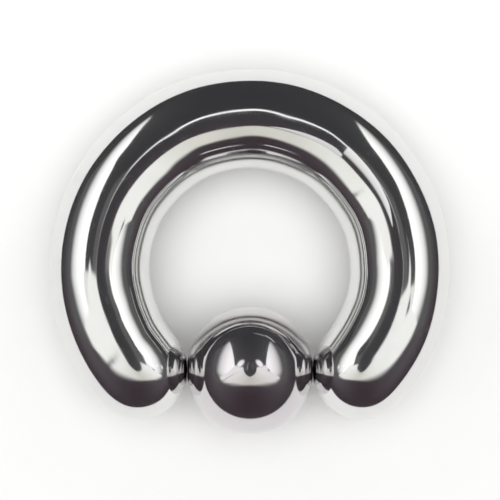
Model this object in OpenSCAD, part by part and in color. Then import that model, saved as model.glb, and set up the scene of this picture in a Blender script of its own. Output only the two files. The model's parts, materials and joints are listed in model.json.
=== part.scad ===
// Captive bead ring, in millimetres: a heavy round steel bar bent into an open ring,
// closed by a ball that is sprung between the bar's two domed ends.
// It lies on its side as it comes to rest, on the ball and on the bar's far side.

/* [Bar] */
// Thickness of the round bar, 2 gauge
bar_d = 6.35; // [5.4:0.05:7.2]
// Inside diameter of the ring
inner_d = 12.7; // [11.6:0.1:16]

/* [Bead] */
// Diameter of the captive bead
bead_d = 8; // [6.8:0.1:9]
// How far each domed end reaches past the bead's round outline
seat_depth = 0.18; // [0.1:0.02:0.4]
// Clearance between a domed end and the dimple around it
seat_gap = 0.04; // [0.02:0.01:0.08]

/* [Hidden] */
$fn = 128;

bar_r = bar_d / 2;
bead_r = bead_d / 2;
// Radius of the bar's centreline
bend_r = inner_d / 2 + bar_r;
// From the bead's centre to the centre of each domed end
end_x = bead_r + bar_r - seat_depth;
// Half of the ring's opening, seen from the ring's centre
opening_angle = asin(end_x / bend_r);
// The bead's centre lies in line with the two domed ends
bead_y = -bend_r * cos(opening_angle);

// A bead thicker than the bar props the ring up on that side
rest_tilt = asin(max(bead_r - bar_r, 0) / (bend_r - bead_y));
// Height of the ring's centre above the surface
centre_z = bar_r + bend_r * sin(rest_tilt);
// The outline's ends along Y, measured from the ring's centre
far_y = bend_r * cos(rest_tilt) + bar_r;
near_y = bead_y * cos(rest_tilt) - max(bead_r, bar_r);

// Puts a piece drawn flat about the ring's centre where it rests,
// with the origin under the middle of the outline
module at_rest() {
    translate([0, -(far_y + near_y) / 2, centre_z])
        rotate([-rest_tilt, 0, 0])
            children();
}

// Places something at one end of the bar, 1 for the right one and -1 for the left.
// There the bar's flat end lies on XZ, centred on X, and the opening is towards -Y.
module at_end(side) {
    mirror([side < 0 ? 1 : 0, 0, 0])
        rotate([0, 0, opening_angle - 90])
            children();
}

// The bar bent round from one flat end to past the other, but not to the opening's middle
module long_bend() {
    rotate_extrude(angle = 360 - 1.5 * opening_angle)
        translate([bend_r, 0])
            circle(r = bar_r);
}

// The bar from flat end to flat end, which is what both long bends share
module bend() {
    intersection_for(side = [-1, 1])
        at_end(side)
            long_bend();
}

// The half ball that closes the bar, on the flat end that at_end places
module dome() {
    translate([bend_r, 0, 0])
        rotate([90, 0, 0])
            rotate_extrude()
                intersection() {
                    circle(r = bar_r);
                    square(bar_r);
                }
}

module ring() {
    color("silver")
        at_rest()
            union() {
                bend();
                at_end(1) dome();
                at_end(-1) dome();
            }
}

// Half of the bead's section, with Y along the line through the domed ends
module bead_profile() {
    difference() {
        intersection() {
            circle(r = bead_r);
            translate([0, -bead_r])
                square([bead_r, bead_d]);
        }
        for (side = [-1, 1])
            translate([0, side * end_x])
                circle(r = bar_r + seat_gap);
    }
}

// The ball, turned about that line, with a dimple on each side
// that follows the domed end in it
module bead() {
    color("gainsboro")
        at_rest()
            translate([0, bead_y, 0])
                rotate([0, 90, 0])
                    rotate_extrude()
                        bead_profile();
}

ring();
bead();
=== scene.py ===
# Captive bead ring in polished surgical steel, lying on its side on a pale floor.
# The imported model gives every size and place. Here the bar and the bead get their
# finished meshes and surfaces, and the stage gets its floor, light cards and camera.
import json
import math

import bpy
import numpy as np
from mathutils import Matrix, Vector


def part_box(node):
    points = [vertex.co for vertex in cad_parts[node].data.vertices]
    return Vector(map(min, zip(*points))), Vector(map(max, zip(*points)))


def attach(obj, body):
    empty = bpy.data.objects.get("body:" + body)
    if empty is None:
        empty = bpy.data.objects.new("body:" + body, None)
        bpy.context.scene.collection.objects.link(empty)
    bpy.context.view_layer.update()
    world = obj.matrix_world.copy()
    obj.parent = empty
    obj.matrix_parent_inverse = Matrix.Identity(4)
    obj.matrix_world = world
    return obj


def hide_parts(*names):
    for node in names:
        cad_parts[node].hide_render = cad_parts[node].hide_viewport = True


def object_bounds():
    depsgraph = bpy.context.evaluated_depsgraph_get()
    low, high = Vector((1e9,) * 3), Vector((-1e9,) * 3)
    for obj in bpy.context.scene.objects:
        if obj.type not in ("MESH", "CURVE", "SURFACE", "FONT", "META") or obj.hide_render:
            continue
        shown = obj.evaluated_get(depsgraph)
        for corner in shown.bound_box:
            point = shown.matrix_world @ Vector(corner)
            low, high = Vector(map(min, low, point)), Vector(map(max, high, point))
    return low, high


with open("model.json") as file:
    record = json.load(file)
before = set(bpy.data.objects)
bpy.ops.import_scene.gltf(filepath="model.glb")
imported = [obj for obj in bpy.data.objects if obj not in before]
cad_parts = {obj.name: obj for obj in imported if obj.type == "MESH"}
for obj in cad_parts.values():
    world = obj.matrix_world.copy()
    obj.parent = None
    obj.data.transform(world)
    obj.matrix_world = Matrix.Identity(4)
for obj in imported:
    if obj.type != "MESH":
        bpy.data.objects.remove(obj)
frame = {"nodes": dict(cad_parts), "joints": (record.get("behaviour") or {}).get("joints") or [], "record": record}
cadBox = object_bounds()
print("stage 1: frame loaded with", ", ".join(sorted(frame["nodes"])))

mm = 0.001


def sizesFromFrame():
    # the far point of the bar and the bead's centre give the ring's middle and its tilt
    mount = frame["record"]["mounts"][0]
    joint = frame["joints"][0]
    farPoint = Vector(mount["pos_m"])
    beadCentre = Vector(joint["pos_m"])
    barRadius = mount["dims"]["r_mm"] * mm
    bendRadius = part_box("ring")[1].x - barRadius
    towardsBead = (beadCentre - farPoint).normalized()
    centre = farPoint + bendRadius * towardsBead
    beadOffset = (beadCentre - centre).length
    return {
        "centre": np.array(centre),
        "right": np.array((1.0, 0.0, 0.0)),
        "up": -np.array(towardsBead),  # in the ring's own plane, away from the bead
        "normal": np.array(Vector((1, 0, 0)).cross(-towardsBead)),
        "barRadius": barRadius,
        "bendRadius": bendRadius,
        "beadCentre": np.array(beadCentre),
        "beadRadius": beadCentre.z,  # the bead rests on the floor
        "endX": math.sqrt(bendRadius ** 2 - beadOffset ** 2),
        "openingAngle": math.acos(beadOffset / bendRadius),
    }


sizes = sizesFromFrame()


def meshObject(name, points, faces, material):
    mesh = bpy.data.meshes.new(name)
    mesh.from_pydata([tuple(p) for p in points], [], faces)
    mesh.validate()
    mesh.polygons.foreach_set("use_smooth", [True] * len(mesh.polygons))
    mesh.materials.append(material)
    piece = bpy.data.objects.new(name, mesh)
    bpy.context.scene.collection.objects.link(piece)
    return piece


def tubeFaces(rows, columns):
    # quads between closed rows of points, with a fan round a pole at each end
    faces = []
    for row in range(rows - 1):
        for column in range(columns):
            a, b = row * columns + column, row * columns + (column + 1) % columns
            faces.append((a, b, b + columns, a + columns))
    startPole, endPole = rows * columns, rows * columns + 1
    lastRow = (rows - 1) * columns
    for column in range(columns):
        nextColumn = (column + 1) % columns
        faces.append((nextColumn, column, startPole))
        faces.append((lastRow + column, lastRow + nextColumn, endPole))
    return faces


waveMix = {  # how the waves on one piece differ from each other
    "leastLength": 0.6,  # in shares of the piece's own wave length
    "lengthSpread": 0.9,
    "leastShare": 0.5,
    "shareSpread": 0.5,
    "mostSwirl": 3,  # crests that a wave moves on by in one turn round the piece
    "sharpness": 2.2,
}


def polishWaves(along, around, piece):
    # the slight unevenness that buffing leaves: a few long waves, always inwards
    chance = np.random.default_rng(piece["seed"])
    total = np.zeros(np.broadcast(along, around).shape)
    weight = 0
    for wave in range(piece["waveCount"]):
        length = piece["waveLength"] * (waveMix["leastLength"] + waveMix["lengthSpread"] * chance.random())
        share = waveMix["leastShare"] + waveMix["shareSpread"] * chance.random()
        swirl = chance.integers(-waveMix["mostSwirl"], waveMix["mostSwirl"] + 1)
        phase = chance.random() * math.tau
        total += share * np.sin(math.tau * along / length + swirl * around + phase)
        weight += share
    return -piece["waveDepth"] * (0.5 + 0.5 * np.tanh(waveMix["sharpness"] * total / weight))


class Wire:  # a node's output that takes part in Python sums
    def __init__(self, look, socket):
        self.look = look
        self.socket = socket

    def __add__(self, other):
        return self.look.calc("ADD", self, other)

    def __radd__(self, other):
        return self.look.calc("ADD", other, self)

    def __sub__(self, other):
        return self.look.calc("SUBTRACT", self, other)

    def __rsub__(self, other):
        return self.look.calc("SUBTRACT", other, self)

    def __mul__(self, other):
        return self.look.calc("MULTIPLY", self, other)

    def __rmul__(self, other):
        return self.look.calc("MULTIPLY", other, self)

    def __truediv__(self, other):
        return self.look.calc("DIVIDE", self, other)

    def __rtruediv__(self, other):
        return self.look.calc("DIVIDE", other, self)


class Look:  # the node tree of one material, or of the world
    def __init__(self, owner):
        owner.use_nodes = True
        self.tree = owner.node_tree
        self.tree.nodes.clear()

    def add(self, kind, settings=None, inputs=None, output=0):
        node = self.tree.nodes.new(kind)
        for key, value in (settings or {}).items():
            setattr(node, key, value)
        for key, value in (inputs or {}).items():
            self.feed(node.inputs[key], value)
        return Wire(self, node.outputs[output]) if node.outputs else None

    def feed(self, socket, value):
        if isinstance(value, Wire):
            self.tree.links.new(value.socket, socket)
        else:
            socket.default_value = value

    def calc(self, operation, *values):
        inputs = dict(enumerate(values))
        return self.add("ShaderNodeMath", {"operation": operation}, inputs)

    def mix(self, share, first, second):
        # a colour mix has its factor at 0, its colours at 6 and 7 and its result at 2
        inputs = {0: share, 6: first, 7: second}
        return self.add("ShaderNodeMix", {"data_type": "RGBA"}, inputs, output=2)

    def fade(self, value, low, high):
        # 0 at low and 1 at high, smooth between
        settings = {"interpolation_type": "SMOOTHSTEP"}
        inputs = {"Value": value, "From Min": low, "From Max": high}
        return self.add("ShaderNodeMapRange", settings, inputs)

    def join(self, x, y, z):
        return self.add("ShaderNodeCombineXYZ", inputs={0: x, 1: y, 2: z})

    def split(self, vector):
        node = self.add("ShaderNodeSeparateXYZ", inputs={0: vector}).socket.node
        return [Wire(self, socket) for socket in node.outputs]

    def noise(self, vector, scale, detail=2.0, roughness=0.5, warp=0.0):
        inputs = {
            "Vector": vector,
            "Scale": scale,
            "Detail": detail,
            "Roughness": roughness,
            "Distortion": warp,
        }
        return self.add("ShaderNodeTexNoise", inputs=inputs)

    def bump(self, height, depth, strength):
        inputs = {"Strength": strength, "Distance": depth, "Height": height}
        return self.add("ShaderNodeBump", inputs=inputs)

    def place(self):
        return self.add("ShaderNodeTexCoord", output=3)  # in the piece's own coordinates, metres

    def finish(self, shader, kind="ShaderNodeOutputMaterial"):
        self.add(kind, inputs={"Surface": shader})


def grey(value):
    return (value, value, value, 1.0)


steelWear = {  # scales are per millimetre
    "hazeScale": 0.22,
    "hazeWarp": 0.4,
    "hazeRange": (0.48, 0.72),
    "hazeTone": 0.55,  # how far haze and hairlines go towards the darker tone
    "lineTone": 0.2,
    "hazeRoughness": 0.03,
    "lineRoughness": 0.02,
    "scratchRoughness": 0.12,
    "scratchStretch": (0.6, 0.12, 0.12),  # against the hairlines
    "scratchWidth": 0.012,
    "scratchScale": 0.9,  # of the patches that have scratches
    "scratchRange": (0.55, 0.6),
    "scratchDepth": 1.2,
    "grainScale": 9.0,
    "grainDepth": 0.1,
    "reliefDepth": 0.0005 * mm,
    "reliefStrength": 0.25,
    "softRoughness": 0.42,
    "hazeFilm": 0.5,  # more of the soft reflection where there is haze
}


def steel(name, piece, linesOf):
    # linesOf gives the vector that stretches the hairlines over this piece
    material = bpy.data.materials.new(name)
    look = Look(material)
    wear = steelWear
    place = look.add("ShaderNodeVectorMath", {"operation": "SCALE"}, {0: look.place(), "Scale": 1 / mm})
    lineVector = linesOf(look)
    lines = look.noise(lineVector, 1.0, detail=3.0, roughness=0.6)
    haze = look.noise(place, wear["hazeScale"], detail=3.0, roughness=0.55, warp=wear["hazeWarp"])
    haze = look.fade(haze, *wear["hazeRange"])
    grain = look.noise(place, wear["grainScale"], roughness=0.6)
    stretched = look.add(
        "ShaderNodeVectorMath",
        {"operation": "MULTIPLY"},
        {0: lineVector, 1: wear["scratchStretch"]},
    )
    cells = look.add(
        "ShaderNodeTexVoronoi",
        {"feature": "DISTANCE_TO_EDGE"},
        {"Vector": stretched, "Scale": 1.0},
    )
    patches = look.fade(look.noise(place, wear["scratchScale"]), *wear["scratchRange"])
    scratch = (1 - look.fade(cells, 0.0, wear["scratchWidth"])) * patches
    tone = haze * wear["hazeTone"] + lines * wear["lineTone"]
    tone = look.mix(tone, piece["colour"], piece["darker"])
    rough = piece["roughness"] + haze * wear["hazeRoughness"] + (lines - 0.5) * wear["lineRoughness"]
    rough = rough + scratch * wear["scratchRoughness"]
    relief = lines * piece["lineDepth"] + grain * wear["grainDepth"] - scratch * wear["scratchDepth"]
    bump = look.bump(relief, wear["reliefDepth"], wear["reliefStrength"])
    metals = []
    for roughness in (rough, wear["softRoughness"]):
        inputs = {"Base Color": tone, "Metallic": 1.0, "Roughness": roughness, "Normal": bump}
        metals.append(look.add("ShaderNodeBsdfPrincipled", inputs=inputs))
    film = piece["film"] + haze * (wear["hazeFilm"] * piece["film"])
    if "farFilm" in piece:
        y = look.split(look.place())[1]
        middle = float(sizes["beadCentre"][1])
        film = film + look.fade(y, middle, middle + piece["farFilmWidth"]) * piece["farFilm"]
    look.finish(look.add("ShaderNodeMixShader", inputs={0: film, 1: metals[0], 2: metals[1]}))
    return material


barRing = {
    "around": 128,  # points round the section
    "along": 380,  # sections from one flat end to the other
    "domeRows": 30,  # sections on each domed end
    "seed": 11,
    "waveCount": 7,
    "waveLength": 7.5 * mm,
    "waveDepth": 0.04 * mm,
    "easing": 1.2 * mm,  # a dome's curve comes in gradually, this far on both sides of its start
    "colour": (0.79, 0.79, 0.78, 1.0),
    "darker": (0.72, 0.72, 0.725, 1.0),
    "roughness": 0.07,
    "lineScale": (0.35, 14),  # hairlines per millimetre along the bar and across it
    "lineDepth": 0.25,
    "film": 0.02,  # share of the soft reflection that fine wear gives
}


def barLines(look):
    # the hairlines follow the bar's bend
    x, y, z = look.split(look.place())
    centre, up, normal = sizes["centre"], sizes["up"], sizes["normal"]
    dx, dy, dz = x - float(centre[0]), y - float(centre[1]), z - float(centre[2])
    planeY = dy * float(up[1]) + dz * float(up[2])
    height = dy * float(normal[1]) + dz * float(normal[2])
    turn = look.calc("ARCTAN2", dx, planeY)  # 0 at the far side, so the jump is in the opening
    reach = look.calc("SQRT", dx * dx + planeY * planeY) - sizes["bendRadius"]
    along = turn * (sizes["bendRadius"] / mm)
    alongScale, acrossScale = barRing["lineScale"]
    return look.join(along * alongScale, reach / mm * acrossScale, height / mm * acrossScale)


def domeSetback(along):
    # how far the polished surface lies under the plain form, along from where the dome begins.
    # The curve grows evenly from the bar's straight side to the dome's round.
    half, radius = barRing["easing"], sizes["barRadius"]
    if along <= -half:
        return 0.0
    if along <= 0:
        return (along + half) ** 3 / (12 * half * radius)
    rest = max(half - along, 0.0)
    return (2 * half ** 3 - rest ** 3) / (12 * half * radius)


def barSection(turn):
    # the directions out of the ring and on along the bar, and the section's centre
    outward = math.cos(turn) * sizes["right"] + math.sin(turn) * sizes["up"]
    onward = math.cos(turn) * sizes["up"] - math.sin(turn) * sizes["right"]
    return outward, onward, sizes["centre"] + sizes["bendRadius"] * outward


def makeRing(material):
    count = barRing["around"]
    around = np.linspace(0, math.tau, count, endpoint=False)
    startTurn = sizes["openingAngle"] - math.pi / 2
    turns = np.linspace(startTurn, math.pi - startTurn, barRing["along"])
    # bend: how far a row has turned from the section's plane towards the dome's tip
    domeBend = np.linspace(math.pi / 2, 0, barRing["domeRows"], endpoint=False)[1:]
    rows = [(turns[0], -bend) for bend in domeBend]
    rows += [(turn, 0.0) for turn in turns]
    rows += [(turns[-1], bend) for bend in domeBend[::-1]]
    points = []
    for turn, bend in rows:
        outward, onward, spine = barSection(turn)
        along = turn * sizes["bendRadius"] + bend * sizes["barRadius"]
        toEnd = min(turn - turns[0], turns[-1] - turn) * sizes["bendRadius"]
        setback = domeSetback(abs(bend) * sizes["barRadius"] - toEnd)
        waves = polishWaves(along, around, barRing) * math.cos(bend) - setback
        for angle, wave in zip(around, waves):
            side = math.cos(angle) * outward + math.sin(angle) * sizes["normal"]
            way = math.cos(bend) * side + math.sin(bend) * onward
            points.append(spine + (sizes["barRadius"] + wave) * way)
    for turn, sign in ((turns[0], -1), (turns[-1], 1)):
        outward, onward, spine = barSection(turn)
        setback = domeSetback(math.pi / 2 * sizes["barRadius"])
        points.append(spine + sign * (sizes["barRadius"] - setback) * onward)
    return meshObject("steel_ring", points, tubeFaces(len(rows), count), material)


ringPiece = makeRing(steel("ring_steel", barRing, barLines))
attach(ringPiece, "ring")
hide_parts("ring")
print("stage 2: ring with", len(ringPiece.data.polygons), "faces")


captiveBead = {
    "around": 160,  # points round the line through the domed ends
    "sphereRows": 120,
    "dimpleRows": 26,
    "edgeRows": 8,
    "seatGap": 0.04 * mm,  # between a domed end and the dimple round it
    "edgeRadius": 0.07 * mm,  # rounding of a dimple's mouth
    "seed": 5,
    "waveCount": 6,
    "waveLength": 5.5 * mm,
    "waveDepth": 0.008 * mm,
    "colour": (0.69, 0.665, 0.68, 1.0),
    "darker": (0.63, 0.605, 0.62, 1.0),
    "roughness": 0.06,
    "lineScale": (30, 4),  # hairlines per millimetre along the bead's axis and across it
    "lineDepth": 0.15,
    "film": 0.05,
    "farFilm": 0.06,  # more of it on the side of the ring's middle
    "farFilmWidth": 2 * mm,
}


def beadLines(look):
    x, y, z = look.split(look.place())
    alongScale, acrossScale = (scale / mm for scale in captiveBead["lineScale"])
    return look.join(x * alongScale, y * acrossScale, z * acrossScale)


def beadProfile():
    # from the bottom of the right dimple over its mouth and the ball to the other side
    ball, edge = sizes["beadRadius"], captiveBead["edgeRadius"]
    dimple, endX = sizes["barRadius"] + captiveBead["seatGap"], sizes["endX"]
    edgeX = (endX ** 2 + (ball - edge) ** 2 - (dimple + edge) ** 2) / (2 * endX)
    edgeY = math.sqrt((ball - edge) ** 2 - edgeX ** 2)
    mouthTurn = math.atan2(edgeY, endX - edgeX)  # seen from the domed end's centre
    ballTurn = math.atan2(edgeY, edgeX)  # seen from the bead's centre
    half = []
    for share in np.linspace(0, 1, captiveBead["dimpleRows"], endpoint=False)[1:]:
        turn = share * mouthTurn
        half.append((endX - dimple * math.cos(turn), dimple * math.sin(turn)))
    for share in np.linspace(0, 1, captiveBead["edgeRows"], endpoint=False):
        turn = -mouthTurn + share * (ballTurn + mouthTurn)
        half.append((edgeX + edge * math.cos(turn), edgeY + edge * math.sin(turn)))
    middle = []
    for turn in np.linspace(ballTurn, math.pi - ballTurn, captiveBead["sphereRows"]):
        middle.append((ball * math.cos(turn), ball * math.sin(turn)))
    mirrored = [(-x, y) for x, y in reversed(half)]
    return half + middle + mirrored, endX - dimple


def makeBead(material):
    profile, poleX = beadProfile()
    around = np.linspace(0, math.tau, captiveBead["around"], endpoint=False)
    axis, up, normal = sizes["right"], sizes["up"], sizes["normal"]
    points = []
    for x, radius in profile:
        share = radius / sizes["beadRadius"]
        waves = polishWaves(x, around, captiveBead) * share
        for angle, wave in zip(around, waves):
            way = math.cos(angle) * up + math.sin(angle) * normal
            points.append(sizes["beadCentre"] + x * axis + (radius + wave) * way)
    points.append(sizes["beadCentre"] + poleX * axis)
    points.append(sizes["beadCentre"] - poleX * axis)
    faces = [face[::-1] for face in tubeFaces(len(profile), captiveBead["around"])]
    return meshObject("steel_bead", points, faces, material)


beadPiece = makeBead(steel("bead_steel", captiveBead, beadLines))
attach(beadPiece, "bead")
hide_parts("bead")
print("stage 3: bead with", len(beadPiece.data.polygons), "faces")


paleStage = {
    "centreRadius": 0.05,  # the floor's filled middle
    "floorRadius": 0.5,
    "curveRadius": 0.25,
    "curveRows": 24,
    "wallHeight": 0.6,
    "columns": 96,
    "drop": 0.00002,  # the floor lies this far under the object
    "colour": (0.86, 0.86, 0.855, 1.0),
    "otherColour": (0.83, 0.83, 0.83, 1.0),
    "mottleScale": 60.0,
    "mottleShare": 0.3,
    "grainScale": 6000.0,
    "grainDepth": 0.00002,
    "grainStrength": 0.15,
    "roughness": 0.85,
    "gloss": 0.2,
}


def paleMaterial():
    material = bpy.data.materials.new("pale_floor")
    look = Look(material)
    place = look.place()
    mottle = look.noise(place, paleStage["mottleScale"], detail=3.0)
    tone = look.mix(mottle * paleStage["mottleShare"], paleStage["colour"], paleStage["otherColour"])
    grain = look.noise(place, paleStage["grainScale"])
    shader = look.add(
        "ShaderNodeBsdfPrincipled",
        inputs={
            "Base Color": tone,
            "Roughness": paleStage["roughness"],
            "Specular IOR Level": paleStage["gloss"],
            "Normal": look.bump(grain, paleStage["grainDepth"], paleStage["grainStrength"]),
        },
    )
    look.finish(shader)
    return material


def turnedSheet(name, profile, material, filled=False):
    # a profile of (radius, height) turned about the upright axis, its first row filled or not
    columns = paleStage["columns"]
    points, faces = [], []
    if filled:
        faces.append(tuple(range(columns)))
    for radius, height in profile:
        for angle in np.linspace(0, math.tau, columns, endpoint=False):
            points.append((radius * math.cos(angle), radius * math.sin(angle), height))
    for row in range(len(profile) - 1):
        for column in range(columns):
            a, b = row * columns + column, row * columns + (column + 1) % columns
            faces.append((a, a + columns, b + columns, b))
    sheet = meshObject(name, points, faces, material)
    return sheet


def makeStage():
    pale = paleMaterial()
    low = -paleStage["drop"]
    floorEdge, curve = paleStage["floorRadius"], paleStage["curveRadius"]
    turnedSheet("floor", [(paleStage["centreRadius"], low), (floorEdge, low)], pale, filled=True)
    wall = []
    for turn in np.linspace(0, math.pi / 2, paleStage["curveRows"]):
        wall.append((floorEdge + curve * math.sin(turn), low + curve * (1 - math.cos(turn))))
    wall.append((floorEdge + curve, low + paleStage["wallHeight"]))
    backdrop = turnedSheet("backdrop", wall, pale)
    backdrop.visible_glossy = False  # the steel mirrors the dark room over the floor's edge


makeStage()
print("stage 4: floor and backdrop")


def glowMaterial(name, strength):
    # shines in the colours and with the cover that the mesh has at its points
    material = bpy.data.materials.new(name)
    look = Look(material)
    glow = look.add("ShaderNodeVertexColor", {"layer_name": "glow"})
    shader = look.add(
        "ShaderNodeBsdfPrincipled",
        inputs={
            "Base Color": grey(0.0),
            "Roughness": 1.0,
            "Specular IOR Level": 0.0,
            "Emission Color": glow,
            "Emission Strength": strength,
            "Alpha": Wire(look, glow.socket.node.outputs["Alpha"]),
        },
    )
    look.finish(shader)
    return material


def makeCard(name, shape, card):
    # a light card that only reflections show. Its shape gives place, colour and cover
    # for two shares from 0 to 1, along and across it.
    rows, columns = card["grid"]
    points, colours, faces = [], [], []
    for row in range(rows):
        for column in range(columns):
            point, colour, cover = shape(row / (rows - 1), column / (columns - 1))
            points.append(point)
            colours.append((*colour, cover))
    for row in range(rows - 1):
        for column in range(columns - 1):
            a = row * columns + column
            faces.append((a, a + 1, a + columns + 1, a + columns))
    sheet = meshObject(name, points, faces, glowMaterial(name + "_light", card["strength"]))
    layer = sheet.data.color_attributes.new("glow", "FLOAT_COLOR", "POINT")
    layer.data.foreach_set("color", np.array(colours).ravel())
    sheet.visible_camera = False
    sheet.visible_shadow = False


def sideName(name, side):
    return name + ("_right" if side > 0 else "_left")


def smooth(value, low, high):
    share = min(max((value - low) / (high - low), 0.0), 1.0)
    return share * share * (3 - 2 * share)


sideBox = {  # a broad light on each side
    "grid": (36, 28),
    "height": 350 * mm,
    "innerLeft": 0.49,  # from here on in shares of the height
    "innerRight": 0.52,
    "flare": 0.63,  # how the inner edge swings out away from the camera
    "width": 2.1,
    "paleFrom": 0.7,  # a little darker from here on
    "paleTo": 1.1,
    "pale": 0.2,
    "fadeFrom": 1.0,
    "fadeTo": 1.85,
    "nearSooner": 1.2,  # how much sooner the near part fades
    "leftFurther": 1.09,  # the left one fades that many times further out
    "dimmest": 0.1,
    "near": -0.33,
    "slant": 0.2,  # how the near edge falls away outwards
    "far": 2.6,
    "farDimFrom": 1.7,
    "farDim": 0.8,
    "strength": 1.42,
}


def makeSideBox(side):
    box = sideBox
    inner = box["innerRight"] if side > 0 else box["innerLeft"]

    def shape(along, across):
        y = box["near"] + along * (box["far"] - box["near"])
        x = math.hypot(inner, box["flare"] * max(y, 0)) + across * box["width"]
        y -= box["slant"] * across * box["width"] * (1 - along)
        place = x if side > 0 else x / box["leftFurther"]
        place += box["nearSooner"] * max(-y, 0)
        fade = 1 - (1 - box["dimmest"]) * smooth(place, box["fadeFrom"], box["fadeTo"])
        fade *= 1 - box["pale"] * smooth(place, box["paleFrom"], box["paleTo"])
        fade *= 1 - box["farDim"] * smooth(y, box["farDimFrom"], box["far"])
        point = (side * x * box["height"], y * box["height"], box["height"])
        return point, (fade, fade, fade), 1.0

    makeCard(sideName("side_box", side), shape, box)


creamCard = {  # slopes down in front of the lens, with a notch for it
    "grid": (30, 401),
    "height": 48 * mm,
    # places along half of the card, as a share of it, with the near edge's X and Y there, in mm
    "near": (
        (0, 0, -3),
        (0.3, 8.4, -1),
        (0.35, 9.2, 1.3),
        (0.55, 16, 1.8),
        (0.61, 18, 2.6),
        (0.66, 20.5, 4.6),
        (0.7, 22, 0.8),
        (0.75, 23, -1.5),
        (1, 26, -3),
    ),
    "notch": 8.4 * mm,  # radius of the round notch
    # the same with the far edge's X, Y and Z
    "far": (
        (0, 0, -15.1, 26.6),
        (0.35, 10, -14.3, 23.4),
        (0.55, 16, -13.4, 21.7),
        (0.8, 44, -17.5, 38),
        (1, 60, -18, 48),
    ),
    "overshoot": 1.1,  # where the card ends, in shares of the way from near to far edge
    "nearCover": (-0.01, 0.05),  # the cover comes in between these shares
    "farCover": (0.9, 1.08),  # and goes out between these
    "slitAngle": 35.0,  # a dark slit in the left half, wider towards the far edge
    "slitWidth": 1.4,
    "slitFrom": 0.35,
    "slitTone": 0.1,
    # a dark line in the right half, as places along Y with its X there, in mm
    "line": ((-5.1, 21.9), (-3.5, 22.8), (-1.9, 23.8), (0.5, 24.5)),
    "lineWidth": 1.7 * mm,
    "lineEdge": (0.6, 1.4),  # softens between these shares of the width
    "lineEnd": (-6.2 * mm, -4.6 * mm),
    "lineDepth": 0.9,
    "colour": (0.77, 0.765, 0.69),
    "sideColour": (1.1, 1.1, 1.07),
    # the side colour goes evenly over into the cream between these directions, in degrees
    "whiteUntil": 33,
    "creamFrom": 85,
    "strength": 1.0,
}


def mirrorY(height):
    # the tilted ring mirrors the upright line over its middle at this place along Y
    crest = sizes["centre"][2] + sizes["barRadius"]
    return sizes["centre"][1] + 2 * sizes["normal"][1] * (height - crest)


def makeCreamCard():
    card = creamCard
    nearShares, nearX, nearY = (np.array(values) for values in zip(*card["near"]))
    farShares, farX, farY, farZ = (np.array(values) for values in zip(*card["far"]))
    lineY, lineX = zip(*card["line"])

    def edges(share):
        nearPlace = [np.interp(share, nearShares, values) * mm for values in (nearX, nearY)]
        near = np.array((*nearPlace, card["height"]))
        if near[0] < card["notch"]:
            near[1] -= math.sqrt(card["notch"] ** 2 - near[0] ** 2)
        far = np.array([np.interp(share, farShares, values) * mm for values in (farX, farY, farZ)])
        return near, far

    def shape(along, across):
        side = 2 * across - 1
        near, far = edges(abs(side))
        reach = along * card["overshoot"]
        x, y, z = near + reach * (far - near)
        under = math.degrees(math.atan2(mirrorY(z) - y, x))
        white = np.interp(under, (card["whiteUntil"], card["creamFrom"]), (1, 0))
        colour = [c + white * (w - c) for c, w in zip(card["colour"], card["sideColour"])]
        slitWidth = card["slitWidth"] * (reach - card["slitFrom"])
        if side < 0 and abs(under - card["slitAngle"]) < slitWidth:
            colour = [card["slitTone"] * c for c in colour]
        if side > 0:
            offLine = abs(x - np.interp(y / mm, lineY, lineX) * mm) / card["lineWidth"]
            dark = (1 - smooth(offLine, *card["lineEdge"])) * smooth(y, *card["lineEnd"])
            colour = [(1 - card["lineDepth"] * dark) * c for c in colour]
        cover = smooth(reach, *card["nearCover"]) * (1 - smooth(reach, *card["farCover"]))
        return (math.copysign(x, side), y, z), tuple(colour), cover

    makeCard("cream_card", shape, card)


highCard = {  # closes the gap between the cream card and each side box
    "grid": (2, 24),
    "height": 260 * mm,
    "innerX": 85 * mm,
    "outerX": 150 * mm,
    "nearY": -70 * mm,
    "farY": 17 * mm,
    "softEdge": 0.15,
    "colour": (0.95, 0.95, 0.92),
    "strength": 1.0,
}


def makeHighCard(side):
    card = highCard

    def shape(along, across):
        x = card["innerX"] + across * (card["outerX"] - card["innerX"])
        y = card["farY"] + along * (card["nearY"] - card["farY"])
        cover = smooth(across, 0, card["softEdge"])
        return (side * x, y, card["height"]), card["colour"], cover

    makeCard(sideName("high_card", side), shape, card)


faintField = {  # the dim surroundings of the lens
    "grid": (16, 16),
    "height": 49 * mm,
    "innerX": 6.5 * mm,
    "outerX": 18 * mm,
    "nearY": -2 * mm,
    "farY": 15 * mm,
    "softEdge": 0.3,
    "colour": (0.12, 0.12, 0.12),
    "strength": 1.0,
}


def makeFaintField(side):
    field = faintField

    def shape(along, across):
        x = field["innerX"] + across * (field["outerX"] - field["innerX"])
        y = field["nearY"] + along * (field["farY"] - field["nearY"])
        cover = smooth(min(across, 1 - across, along, 1 - along), 0, field["softEdge"])
        return (side * x, y, field["height"]), field["colour"], cover

    makeCard(sideName("faint_field", side), shape, field)


beadSpot = {  # a light spot close over the bead, one on each side
    "grid": (12, 33),
    "height": 10.5 * mm,
    "x": 1.4 * mm,
    "y": -5.9 * mm,
    "length": 0.66 * mm,
    "width": 0.38 * mm,
    "turn": 48,
    "reach": 1.5,  # where the mesh ends, in shares of the spot's size
    "softEdge": (0.6, 1.4),  # the cover fades between these shares
    "strength": 1.3,
}


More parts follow.
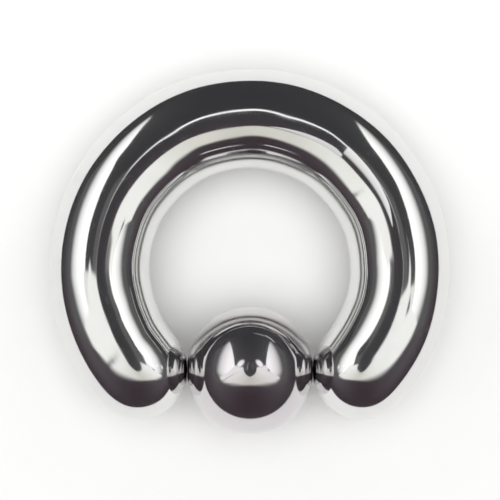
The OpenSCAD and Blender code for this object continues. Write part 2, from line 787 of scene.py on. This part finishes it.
def makeBeadSpot(side):
    spot = beadSpot
    tilt = math.radians(spot["turn"])

    def shape(along, across):
        reach, turn = spot["reach"] * along, across * math.tau
        length, width = reach * spot["length"] * math.cos(turn), reach * spot["width"] * math.sin(turn)
        x = spot["x"] + length * math.cos(tilt) + width * math.sin(tilt)
        y = spot["y"] - length * math.sin(tilt) + width * math.cos(tilt)
        return (side * x, y, spot["height"]), (1.0, 1.0, 1.0), 1 - smooth(reach, *spot["softEdge"])

    makeCard(sideName("bead_spot", side), shape, spot)


crestPatch = {  # a light wedge close over the ring
    "grid": (40, 9),
    "centreY": -0.8 * mm,
    "height": 10 * mm,
    "innerTone": 0.7,  # brighter from there to the outer edge
    "softEdge": 0.3,
}

pointedPatch = {
    **crestPatch,
    # in the direction from the ring's middle in degrees, the radii that the wedge spans there in mm
    "spans": ((16, 8.2, 8.3), (25, 7.95, 9.1), (40, 7.85, 9.6), (51, 7.8, 9.75)),
    "strength": 1.1,
}

curvedPatch = {
    **crestPatch,
    "spans": ((51, 6.7, 7.7), (55, 6.6, 7.95), (65, 6.6, 7.7), (74, 6.7, 7.3), (82, 6.8, 6.9)),
    "strength": 0.95,
}


def makeCrestPatch(name, patch):
    angles, inners, outers = (np.array(values) for values in zip(*patch["spans"]))

    def shape(along, across):
        degrees = angles[0] + along * (angles[-1] - angles[0])
        turn = math.radians(degrees)
        inner, outer = (np.interp(degrees, angles, radii) * mm for radii in (inners, outers))
        radius = inner + across * (outer - inner)
        x, y = radius * math.cos(turn), patch["centreY"] + radius * math.sin(turn)
        tone = patch["innerTone"] + (1 - patch["innerTone"]) * across
        return (x, y, patch["height"]), (tone, tone, tone), smooth(across, 0, patch["softEdge"])

    makeCard(name, shape, patch)


archStrip = {  # a thin light line over the ring's far side
    "grid": (60, 5),
    "centreY": -1.1 * mm,
    "height": 150 * mm,
    "lowRadius": 12 * mm,
    "topRise": 30 * mm,
    "topAngle": 91,
    "topSpread": 25,
    "width": 12 * mm,
    "firstAngle": 51,
    "lastAngle": 142,
    "softEnd": 0.2,
    "softEdge": (-0.2, 0.4),
    "strength": 1.6,
}


def makeArch():
    arch = archStrip

    def shape(along, across):
        degrees = arch["firstAngle"] + along * (arch["lastAngle"] - arch["firstAngle"])
        turn = math.radians(degrees)
        rise = math.exp(-((degrees - arch["topAngle"]) / arch["topSpread"]) ** 2)
        radius = arch["lowRadius"] + rise * arch["topRise"] + (across - 0.5) * arch["width"]
        x, y = radius * math.cos(turn), arch["centreY"] + radius * math.sin(turn)
        cover = smooth(1 - along, 0, arch["softEnd"]) * smooth(min(across, 1 - across), *arch["softEdge"])
        return (x, y, arch["height"]), (1.0, 1.0, 1.0), cover

    makeCard("arch_strip", shape, arch)


darkLens = {  # the dark lens, which hides the thin line from the bead
    "grid": (4, 48),
    "centreY": 3 * mm,
    "height": 62 * mm,
    "halfWidth": 4.5 * mm,
    "halfLength": 11 * mm,
    "colour": (0.046, 0.043, 0.048),
    "strength": 1.0,
}


def makeDarkLens():
    lens = darkLens

    def shape(along, across):
        turn = across * math.tau
        x = along * lens["halfWidth"] * math.cos(turn)
        y = lens["centreY"] + along * lens["halfLength"] * math.sin(turn)
        return (x, y, lens["height"]), lens["colour"], 1.0

    makeCard("dark_lens", shape, lens)


softSky = {  # lights the floor, and the steel doesn't mirror it
    "energy": 2.45,
    "spread": 65,  # degrees
    "height": 0.5,
}


def makeSky():
    light = bpy.data.lights.new("soft_sky", "SUN")
    light.energy = softSky["energy"]
    light.angle = math.radians(softSky["spread"])
    sky = bpy.data.objects.new("soft_sky", light)
    bpy.context.scene.collection.objects.link(sky)
    sky.location = (0, 0, softSky["height"])
    sky.visible_glossy = False


darkRoom = {
    "farTone": (0.043, 0.0435, 0.047, 1),
    "nearTone": (0.052, 0.038, 0.047, 1),
    "turnover": 0.3,  # the tones blend within this much of straight up
    "sideGlow": 0.08,
    "sideGlowHeight": 0.5,
}


def makeWorld():
    room = darkRoom
    world = bpy.data.worlds.new("dark_room")
    bpy.context.scene.world = world
    look = Look(world)
    direction = look.add("ShaderNodeTexCoord", output=0)  # for a world this is the direction
    x, y, z = look.split(direction)
    tone = look.mix(look.fade(y, room["turnover"], -room["turnover"]), room["farTone"], room["nearTone"])
    glow = x * x * look.fade(z, 0.0, room["sideGlowHeight"]) * room["sideGlow"]
    tone = look.mix(glow, tone, grey(1.0))
    look.finish(look.add("ShaderNodeBackground", inputs={"Color": tone}), "ShaderNodeOutputWorld")


for makePair in (makeSideBox, makeHighCard, makeFaintField, makeBeadSpot):
    makePair(1)
    makePair(-1)
makeCreamCard()
makeCrestPatch("pointed_crest_patch", pointedPatch)
makeCrestPatch("curved_crest_patch", curvedPatch)
makeArch()
makeDarkLens()
makeSky()
makeWorld()
print("stage 5: light cards and room")


cameraSizes = {
    "height": 0.07,
    "share": 0.8,  # of the picture's width that the ring takes
    "sensor": 36.0,
    "clipStart": 0.005,
}


def makeCamera():
    data = bpy.data.cameras.new("camera")
    camera = bpy.data.objects.new("camera", data)
    bpy.context.scene.collection.objects.link(camera)
    low, high = cadBox
    middle = (low + high) / 2
    level = sizes["centre"][2]
    camera.location = (middle.x, middle.y, cameraSizes["height"])
    halfFrame = (high.x - low.x) / 2 / cameraSizes["share"]
    data.sensor_width = cameraSizes["sensor"]
    data.lens = cameraSizes["sensor"] / 2 * (cameraSizes["height"] - level) / halfFrame
    data.clip_start = cameraSizes["clipStart"]
    bpy.context.scene.camera = camera


makeCamera()
bpy.context.scene.view_settings.view_transform = "Standard"
print("stage 6: camera")
